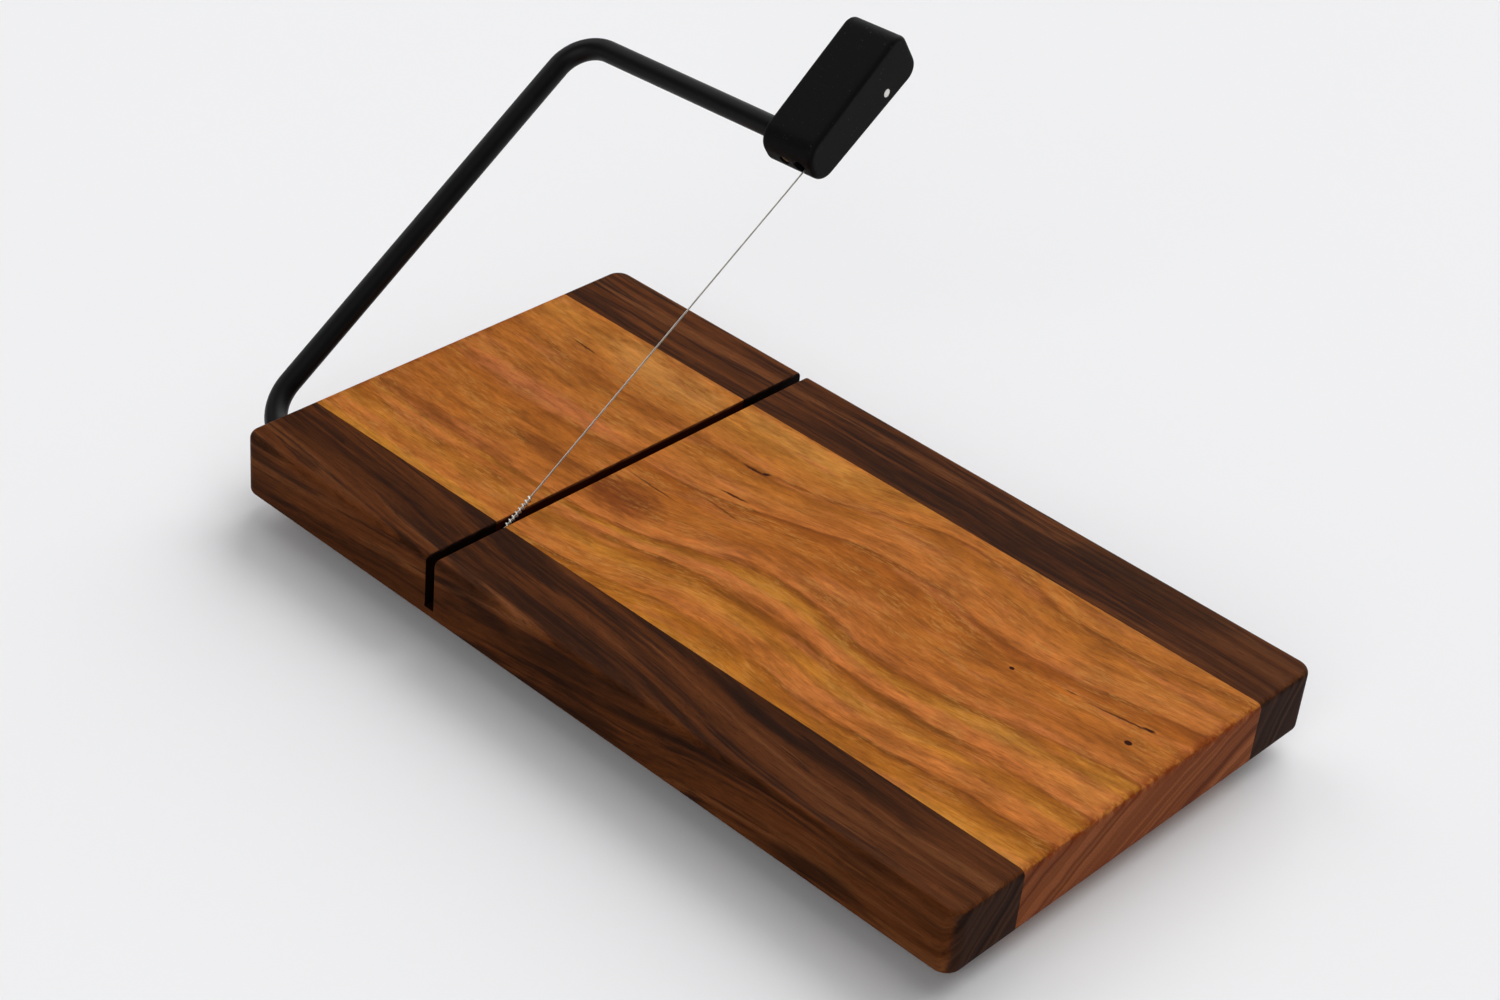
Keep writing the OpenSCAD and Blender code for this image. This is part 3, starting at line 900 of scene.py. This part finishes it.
# Patches in the cherry: x, y, half length, half width, colour, strength
CHERRY_PATCHES = [
    (86, 57, 15, 7, (106, 50, 18), 0.85), (100, 112, 27, 4, (190, 129, 58), 0.6),
    (50, 108, 24, 8, (188, 126, 62), 0.75), (40, 25, 40, 2.4, (184, 123, 42), 0.7),
    (130, 32, 46, 7, (168, 101, 30), 0.45), (58, 57, 17, 3.5, (110, 58, 20), 0.8),
    (150, 79, 28, 6, (140, 75, 22), 0.5), (36, 75, 34, 4, (180, 102, 60), 0.7),
    (28, 45, 26, 3.5, (122, 64, 26), 0.65), (225, 57, 26, 4, (182, 119, 48), 0.4),
]

# Gum streaks in the cherry: x, y, half length, half width, slope, strength
GUM_STREAKS = [
    (99.5, 93.4, 4.4, 0.5, 0.03, 0.9), (103, 94.2, 1.1, 0.8, 0.5, 1.0), (104.6, 80.2, 4.6, 0.45, 0.12, 0.9),
    (26, 101, 5.0, 0.4, -0.06, 0.75), (87, 66.6, 9.0, 0.35, -0.03, 0.65), (231, 85.2, 9.5, 0.4, 0.17, 0.8),
    (237.5, 86.6, 2.0, 0.55, 0.12, 1.0), (216, 83.6, 1.8, 0.3, 0.05, 0.7),
    (107, 73.2, 7.0, 0.35, -0.06, 0.55),
]

# Where each walnut strip's grain wanders to
FRONT_WALNUT_WANDER = [(0, -6), (75, -1), (100, 1), (140, 4), (185, 9), (250, 10)]
BACK_WALNUT_WANDER = [(0, 0), (60, 1), (120, 0.5), (180, 1.5), (250, 3)]

# Lighter and darker places in the walnut, and painted light on the front side: x, y, half length, half width,
# gain
FRONT_PATCHES_AND_PAINTED_LIGHT = [(190, 20, 40, 5, 0.62), (236, 12, 22, 16, 1.04), (130, 14, 36, 6, 1.2),
                 # The last, a long thin patch along the front edge, brightens the front side: painted light
                 (40, 2, 60, 10, 1.08), (125, -1, 170, 4, 1.2)]
BACK_PATCHES = [(30, 128, 60, 16, 1.3), (203, 135, 26, 9, 0.5), (244, 126, 16, 16, 0.92)]

# Pin knots in the cherry: x, y, radius
PIN_KNOTS = [(200.2, 79.8, 0.62), (237.2, 78.8, 0.9)]

WOOD_SHINE = 0.015      # specular level of the oiled wood


def oval(x, y, px, py, long, wide):
    """Squared distance from an oval's middle, 1 on its outline."""
    along = (x - px) / long
    across = (y - py) / wide
    return along * along + across * across


def cherry_patches(s, x, y, fine, colour):
    """Lays the cherry's soft patches over its figure, with ragged outlines."""
    ragged = s.noise(fine, (9, 2, 2), 4, 0.65, seed=15) * 2.4 - 1.2
    for px, py, long, wide, shade, strength in CHERRY_PATCHES:
        radius = oval(x, y, px, py, long, wide) + ragged
        colour = s.tint(colour, radius, 1.5, 0.1, strength, shade)
    return colour


def gum_and_knots(s, x, y, z, place):
    """Dark pockets of gum and pin knots near the top face, from 0 to 1."""
    wave = s.noise(place, (2.6, 2.0, 2.0), 2, seed=10) * 2.4 - 1.2
    total = 0.0
    for px, py, long, wide, slope, strength in GUM_STREAKS:
        bent = y - (x - px) * slope + wave * wide
        radius = oval(x, bent, px, py, long, wide)
        total = s.math("MAXIMUM", total, s.step(radius, 1.6, 0.1, 0, strength))
    for px, py, size in PIN_KNOTS:
        radius = oval(x, y, px, py, size * 1.25, size)
        total = s.math("MAXIMUM", total, s.step(radius, 1.25, 0.4, 0, 1.25))
    return total * s.step(z, TOP - 2.5, TOP - 1)


def in_kerf(s, x, z, colour, burn_and_shade):
    """Darkens the kerf's walls and floor toward a near-black red: saw burn, and painted shade for the deep
    narrow slot.
    """
    half = (KERF[1] - KERF[0]) / 2
    inside = s.step(abs(x - GROOVE_X), half + 0.15, half + 0.02) * s.step(z, TOP - 0.3, TOP - 1.2)
    inside = inside * s.step(z, KERF_FLOOR - 0.5, KERF_FLOOR - 0.05)
    return s.mix(inside * 0.95, colour, burn_and_shade)


def finish_wood(s, x, z, colour, burn_and_shade, rough, relief):
    """Oiled wood, darkened in the kerf by saw burn and painted shade, and a little smoother where hands wear
    its edges.
    """
    colour = in_kerf(s, x, z, colour, burn_and_shade)
    roughness = rough - s.near_edge() * 0.08
    return s.finish(colour, roughness, relief, 0.05, 0.6, Specular_IOR_Level=WOOD_SHINE)


def cherry_band(s, y, z, wander, wavy):
    """The figure's place across the panel. Its rings are arcs round a pith far below the board."""
    inner = s.math("DIVIDE", y - wander * 0.7 - INNER_FROM, INNER_WIDTH, clamp=True)
    straight = y - wander * (inner * (1 - FRONT_WANDER) + FRONT_WANDER) - wavy
    pith_y, pith_z = FIGURE_PITH
    sideways = pith_y - straight
    height = z - pith_z
    squared = sideways * sideways + height * height - (TOP - pith_z) ** 2
    return pith_y - s.math("SQRT", s.math("MAXIMUM", squared, 0.0))


def cherry_figure(s, x, band, fine):
    """The figure's colours, feathered along the grain, and looser left of the kerf."""
    loose = s.step(x, 60, 96, 1.0, 0.0)
    feather = s.noise(fine, (8, 1.1, 1.1), 5, 0.66, seed=2) - 0.5
    start, end = CHERRY_FIGURE[0][0], CHERRY_FIGURE[-1][0]
    share = (band + feather * (loose * 5.0 + 2.6) - start) / (end - start)
    stops = [((place - start) / (end - start), shade) for place, shade in CHERRY_FIGURE]
    return s.mix(loose * 0.4, s.ramp(share, stops, smooth=False), (166, 98, 39))


def cherry_clouds(s, fine, colour):
    """Golden, salmon and brown clouds, then shorter streaks and flecks along the grain."""
    colour = s.tint(colour, s.noise(fine, (24, 5, 5), 4, 0.6, seed=3), 0.48, 0.66, 0.6, (138, 76, 24))
    colour = s.tint(colour, s.noise(fine, (30, 6, 6), 4, 0.6, seed=5), 0.5, 0.68, 0.5, (176, 102, 54))
    cloud = s.noise(fine, (13, 4, 4), 3, 0.6, seed=16)
    colour = s.vary(colour, cloud, (0.34, 0.82), (0.5, 1.0), (0.66, 1.16))
    streak = s.noise(fine, (9, 1.2, 1.2), 4, 0.66, seed=14)
    colour = s.vary(colour, streak, (0.35, 0.82), (0.5, 1.0), (0.65, 1.14))
    fleck = s.noise(fine, (3.6, 0.6, 0.6), 4, 0.65, seed=6)
    where = s.noise(fine, (24, 8, 8), 2, seed=7)
    gold = s.step(fleck, 0.48, 0.62) * s.step(where, 0.42, 0.6)
    colour = s.mix(gold * 0.4, colour, (190, 134, 66))
    dark = s.step(fleck, 0.5, 0.36) * s.step(where, 0.6, 0.4)
    return s.mix(dark * 0.4, colour, (116, 62, 22))


def cherry_ends(s, place, y, z, wavy):
    """Cut ends drink more oil: darker and redder, with the rings as fine lines."""
    off_pith = END_PITH[0] - y
    above_pith = z - END_PITH[1]
    ring = s.math("SQRT", off_pith * off_pith + above_pith * above_pith) + wavy
    rings = s.noise(s.join(0.0, ring, 0.0), (1, 2.2, 1), 4, 0.62, seed=11)
    colour = s.ramp(rings, [(0.34, (94, 47, 26)), (0.46, (123, 67, 37)),
                            (0.56, (141, 80, 46)), (0.68, (164, 99, 60))])
    return s.vary(colour, s.noise(place, (40, 0.3, 0.3), 2, seed=12), (0.3, 0.8), (0.7, 1.15))


def cherry_material():
    """Oiled cherry: wandering growth bands, fine fibre, darker end grain, gum streaks and pin knots."""
    s, place = new_material("cherry_wood")
    x, y, z = s.split(place)
    wavy = s.noise(place, (60, 12, 12), 2, seed=1) * 3.0 - 1.5
    lagged = x - s.step(y, 60, 112, 0, WANDER_LAG)
    wander = s.curve(lagged, CHERRY_WANDER, -2, 26, BOARD_L)
    fine = s.join(x, y - wander * FIBRE_WANDER - wavy, z)

    colour = cherry_figure(s, x, cherry_band(s, y, z, wander, wavy), fine)
    colour = cherry_patches(s, x, y, fine, colour)
    colour = cherry_clouds(s, fine, colour)
    fibre = s.noise(fine, (3.6, 0.3, 0.3), 4, 0.65, seed=8)
    colour = s.vary(colour, fibre, (0.3, 0.80), (0.5, 1.0), (0.7, 1.17))
    pore = s.step(s.noise(fine, (2.6, 0.2, 0.2), 2, 0.5, seed=9), 0.64, 0.74)
    colour = s.mix(pore * 0.35, colour, (104, 52, 18))
    marks = gum_and_knots(s, x, y, z, place)
    colour = s.mix(s.math("MINIMUM", marks, 1.0), colour, (48, 16, 7))
    colour = s.mix(s.end_grain(place), colour, cherry_ends(s, place, y, z, wavy))

    # Handled edges are a little darker
    handled = s.near_edge() * s.step(s.noise(place, (2.5, 2.5, 2.5), seed=13), 0.38, 0.6)
    colour = s.mix(handled * 0.85, colour, (112, 44, 14))
    relief = fibre * 0.6 - pore * 0.8 - marks * 2.5
    # (40, 7, 3) is the kerf's near-black red: saw burn and painted shade
    return finish_wood(s, x, z, colour, (40, 7, 3), fibre * 0.22 + 0.42, relief)


def walnut_material(name, wander, slant, patches, seed):
    """Oiled walnut: brown and near-black bands that slant through the strip, and fine dark pores."""
    s, place = new_material(name)
    x, y, z = s.split(place)
    wavy = s.noise(place, (70, 14, 14), 2, seed=seed) * 3.6 - 1.8
    band = y * slant[0] + z * slant[1] + s.curve(x, wander, -12, 12, BOARD_L) + wavy
    fine = s.join(x, band, y * slant[1] - z * slant[0])

    bands = s.noise(s.join(x / 160, band, 0.0), (1, 3.8, 1), 3, 0.6, seed=seed + 1)
    colour = s.ramp(bands, [(0.32, (50, 25, 10)), (0.44, (68, 35, 14)), (0.52, (80, 42, 18)),
                            (0.6, (90, 51, 25)), (0.72, (102, 60, 33))])
    # Dark streaks, fainter toward the right end
    strong = s.step(x, 205, 240, 0.72, 0.3)
    streak = s.step(s.noise(fine, (40, 1.5, 4), 4, 0.62, seed=seed + 2), 0.52, 0.64)
    colour = s.mix(streak * strong, colour, (38, 19, 9))
    colour = s.tint(colour, s.noise(fine, (60, 5, 8), 2, seed=seed + 3), 0.5, 0.75, 0.5, (93, 50, 22))
    # Each patch multiplies the colour by its gain; the front strip's patch along its front edge is painted
    # light
    for px, py, long, wide, gain in patches:
        share = s.step(oval(x, y, px, py, long, wide), 1.6, 0.1)
        colour = s.mix(share, colour, s.mix(1.0, colour, (gain, gain, gain, 1), "MULTIPLY"))

    # Long thin growth lines, where a stretched noise crosses its middle
    line = s.step(abs(s.noise(fine, (170, 4.2, 30), 2, 0.45, seed=seed + 8) - 0.5), 0.09, 0.01)
    fade = s.step(s.noise(fine, (30, 5, 8), seed=seed + 9), 0.34, 0.56)
    colour = s.mix(line * fade * strong, colour, (34, 18, 11))
    fibre = s.noise(fine, (6, 0.35, 0.5), 4, 0.65, seed=seed + 4)
    colour = s.vary(colour, fibre, (0.3, 0.70), (0.5, 1.0), (0.7, 1.28))
    pore = s.step(s.noise(fine, (3.6, 0.22, 0.22), 2, 0.5, seed=seed + 5), 0.62, 0.72)
    colour = s.mix(pore * 0.6, colour, (26, 14, 9))

    rings = s.noise(s.join(0.0, band, 0.0), (1, 2.4, 1), 4, 0.6, seed=seed + 6)
    ends = s.ramp(rings, [(0.32, (32, 19, 13)), (0.52, (50, 31, 23)), (0.72, (76, 49, 34))])
    ends = s.tint(ends, s.noise(place, (40, 0.32, 0.32), 2, seed=seed + 7), 0.6, 0.7, 0.6, (16, 10, 8))
    colour = s.mix(s.end_grain(place), colour, ends)
    # (14, 5, 3) is the kerf's near-black: saw burn and painted shade
    return finish_wood(s, x, z, colour, (14, 5, 3), fibre * 0.2 + 0.44, fibre * 0.6 - pore)


def coated_steel_material():
    """Black powder coat: fine orange peel, faint dust, and dull rub marks."""
    s, place = new_material("black_powder_coat")
    peel = s.noise(place, (0.5, 0.5, 0.5), 3, 0.6, seed=41)
    cloud = s.noise(place, (14, 14, 14), seed=42)
    scuff = s.step(s.noise(place, (1.6, 1.6, 9), 4, 0.7, seed=43), 0.62, 0.72)
    colour = s.mix(cloud, (6, 6, 7), (11, 11, 12))
    colour = s.mix(scuff * 0.3, colour, (28, 28, 30))
    roughness = cloud * 0.16 + scuff * 0.12 + 0.36
    return s.finish(colour, roughness, peel, 0.03, 0.5, Specular_IOR_Level=0.14)


def plastic_material():
    """Black moulded handle: fine even grain, faint drawn marks along it and specks of dust."""
    s, place = new_material("black_moulded_plastic")
    grain = s.noise(place, (0.35, 0.35, 0.35), 3, 0.6, seed=51)
    cloud = s.noise(place, (12, 12, 12), seed=52)
    drawn = s.noise(place, (9, 0.8, 0.8), 4, 0.65, seed=53)
    dust = s.noise(place, (0.55, 0.55, 0.55), 2, seed=54)
    colour = s.mix(cloud, (5, 5, 6), (10, 10, 11))
    colour = s.tint(colour, drawn, 0.6, 0.75, 0.3, (26, 28, 29))
    colour = s.tint(colour, dust, 0.7, 0.76, 0.5, (96, 96, 92))
    roughness = cloud * 0.14 + grain * 0.12 + 0.44
    return s.finish(colour, roughness, drawn * 0.5 + grain, 0.035, 0.55, Specular_IOR_Level=0.075)


def rubber_material():
    """Matte black rubber with dust in its grain."""
    s, place = new_material("black_rubber")
    grain = s.noise(place, (0.4, 0.4, 0.4), 3, 0.6, seed=61)
    dust = s.noise(place, (5, 5, 5), 4, 0.65, seed=62)
    colour = s.mix(s.step(dust, 0.45, 0.75), (17, 17, 17), (44, 43, 41))
    return s.finish(colour, dust * 0.15 + 0.72, grain, 0.04, 0.6, Specular_IOR_Level=0.3)


def steel_material(name, seed, dark, bright, rough, size, metallic=1.0):
    """Steel with drawn marks of a given size and faint tarnish, bare or plated. With 0 metallic its colour is
    diffuse: the wire pin's near-white is a painted highlight for the glint on its steel end.
    """
    s, place = new_material(name)
    drawn = s.noise(place, size, 4, 0.65, seed=seed)
    tarnish = s.noise(place, (3, 3, 3), seed=seed + 1)
    colour = s.mix(tarnish, dark, bright)
    return s.finish(colour, drawn * 0.2 + rough, drawn, 0.01, 0.4, Metallic=metallic)


def backdrop_material():
    s = Shader(bpy.data.materials.new("pale_paper"))
    mottle = s.noise(s.coordinates("Object"), (0.5, 0.5, 0.5))
    colour = s.mix(mottle, (0.79, 0.79, 0.80, 1), (0.82, 0.82, 0.83, 1))
    s.set(Base_Color=colour, Roughness=0.9, Specular_IOR_Level=0.1)
    return s.owner


# ---------------- light, floor and camera

# Soft lights: name, where it stands from the board, spread in degrees, strength
LIGHTS = [
    ("back_softbox", (-0.2, 1.25, 0.9), 62, 2.4),
    ("left_softbox", (-1.4, 0.1, 1.1), 45, 0.7),
    ("top_softbox", (0.1, 0.6, 1.4), 55, 0.85),
    ("front_softbox", (0.55, -1.35, 0.9), 45, 1.0),
]

HORIZON = (0.84, 0.84, 0.85, 1)
OVERHEAD = (0.08, 0.08, 0.084, 1)
SKY_LOW = 0.02          # how high the horizon's tone reaches
SKY_HIGH = 0.14         # and where the tone overhead starts


def soft_light(name, direction, spread, strength):
    """Even light from a wide disc of sky, spread degrees across, like a softbox that stands far off."""
    data = bpy.data.lights.new(name, "SUN")
    data.angle = math.radians(spread)
    data.energy = strength
    lamp = new_object(name, data)
    lamp.location = direction
    lamp.rotation_euler = Vector(direction).to_track_quat("Z", "Y").to_euler()


def make_floor():
    half = 6.0
    steps = 12
    row = steps + 1
    line = np.linspace(-half, half, row)
    points = [(x, y, 0) for y in line for x in line]
    faces = [(j * row + i, j * row + i + 1, (j + 1) * row + i + 1, (j + 1) * row + i)
             for j in range(steps) for i in range(steps)]
    floor = new_mesh("studio_floor", points, faces)
    floor.data.materials.append(backdrop_material())


def make_world():
    """Pale near the horizon, dimmer overhead, so that oiled wood keeps its depth."""
    world = bpy.data.worlds.new("studio")
    bpy.context.scene.world = world
    s = Shader(world, "Background")
    up = s.split(s.coordinates("Generated"))[2]
    overhead = s.math("DIVIDE", up - SKY_LOW, SKY_HIGH - SKY_LOW, clamp=True)
    s.set(Color=s.mix(overhead, HORIZON, OVERHEAD), Strength=1.0)


def make_camera():
    data = bpy.data.cameras.new("camera")
    data.lens = 69.77
    data.sensor_width = 36
    data.clip_start = 0.01
    camera = new_object("camera", data)
    camera.location = (0.40101, -0.48708, 0.45889)
    camera.rotation_euler = [math.radians(a) for a in (55.479, -4.981, 43.595)]
    bpy.context.scene.camera = camera


# ---------------- the whole object


def make_board():
    cherry = cherry_material()
    front = walnut_material("walnut_front", FRONT_WALNUT_WANDER, (0.76, -0.65), FRONT_PATCHES_AND_PAINTED_LIGHT, 20)
    back = walnut_material("walnut_back", BACK_WALNUT_WANDER, (0.9, -0.43), BACK_PATCHES, 30)
    make_strip("front_strip", 0, FRONT_GLUE, "front", front, "walnut", [BORE])
    make_strip("centre_panel", FRONT_GLUE, BACK_GLUE, "none", cherry, "cherry", PILOTS)
    make_strip("back_strip", BACK_GLUE, BOARD_W, "back", back, "walnut")


def make_arm(zinc):
    coat = coated_steel_material()
    drawn = steel_material("drawn_wire", 71, (182, 177, 168), (226, 222, 213), 0.25, (2, 2, 0.2))
    # The pin's near-white, not metallic colour is a painted highlight for the glint on its steel end
    bright = steel_material("pin_steel_painted_glint", 73, (244, 242, 236), (254, 253, 250), 0.3, (0.6, 0.6, 0.6), 0.0)
    make_piece("coated_arm_rod", *rod_mesh(), "arm", "black_steel", "arm_rod", coat)
    make_handle(plastic_material())
    make_piece("steel_cutting_wire", *wire_mesh(), "arm", "wire_steel", "cutting_wire", drawn, 60)
    make_piece("steel_wire_pin", *pin_mesh(), "arm", "zinc_steel", "wire_pin", bright)
    make_piece("steel_set_screw", *set_screw_mesh(), "arm", "zinc_steel", "set_screw", zinc)


def make_feet(zinc):
    rubber = rubber_material()
    kinds = [
        # (piece's name, mesh, slot, node's name, material)
        ("rubber_foot_", foot_mesh(), "black_rubber", "foot_", rubber),
        ("zinc_washer_", washer_mesh(), "zinc_steel", "foot_washer_", zinc),
        ("zinc_screw_", foot_screw_mesh(), "zinc_steel", "foot_screw_", zinc),
    ]
    for corner, (x, y) in FEET.items():
        for name, (points, faces), slot, node, material in kinds:
            make_piece(name + corner, points + [x, y, 0], faces, "board", slot, node + corner, material)


plated = steel_material("zinc_plate", 75, (150, 150, 145), (190, 190, 186), 0.3, (0.8, 0.8, 0.8))
make_board()
make_arm(plated)
make_feet(plated)
make_floor()
make_world()
for light in LIGHTS:
    soft_light(*light)
make_camera()
bpy.context.scene.view_settings.view_transform = "Standard"
